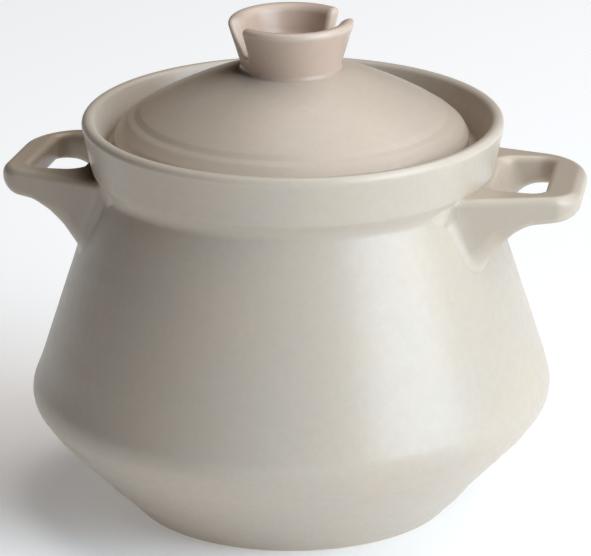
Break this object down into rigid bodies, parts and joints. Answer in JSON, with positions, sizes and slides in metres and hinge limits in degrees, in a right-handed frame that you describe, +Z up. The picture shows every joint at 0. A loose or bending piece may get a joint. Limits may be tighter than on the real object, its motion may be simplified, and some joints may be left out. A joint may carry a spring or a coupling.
{
  "type": "lidded stoneware stew pot",
  "caption": "Glazed stoneware casserole: flared collar over a conical body, lug handles with finger holes, and a domed lift-off lid with a slotted cup knob.",
  "frame": {"origin": "middle of the foot, on the surface the pot stands on", "axes": "+Z up along the pot's axis, +X towards the right-hand handle, +Y towards the back"},
  "size_m": [0.2454, 0.219, 0.211],
  "materials": {
    "pot_glaze": "satin-matt warm cream glaze with fine speckle",
    "handle_glaze": "the same satin-matt cream glaze, thinner on the edges",
    "lid_glaze": "satin-matt warm cream glaze",
    "knob_glaze": "satin-matt warm cream glaze"
  },
  "bodies": {
    "pot": {"pot_body": "pot_glaze", "handle_right": "handle_glaze", "handle_left": "handle_glaze"},
    "lid": {"lid": "lid_glaze", "lid_knob": "knob_glaze"}
  },
  "joints": [
    {"name": "lid_lift", "type": "slide", "parent": "pot", "child": "lid", "axis": [0, 0, 1], "range_m": [0, 0.08]}
  ]
}
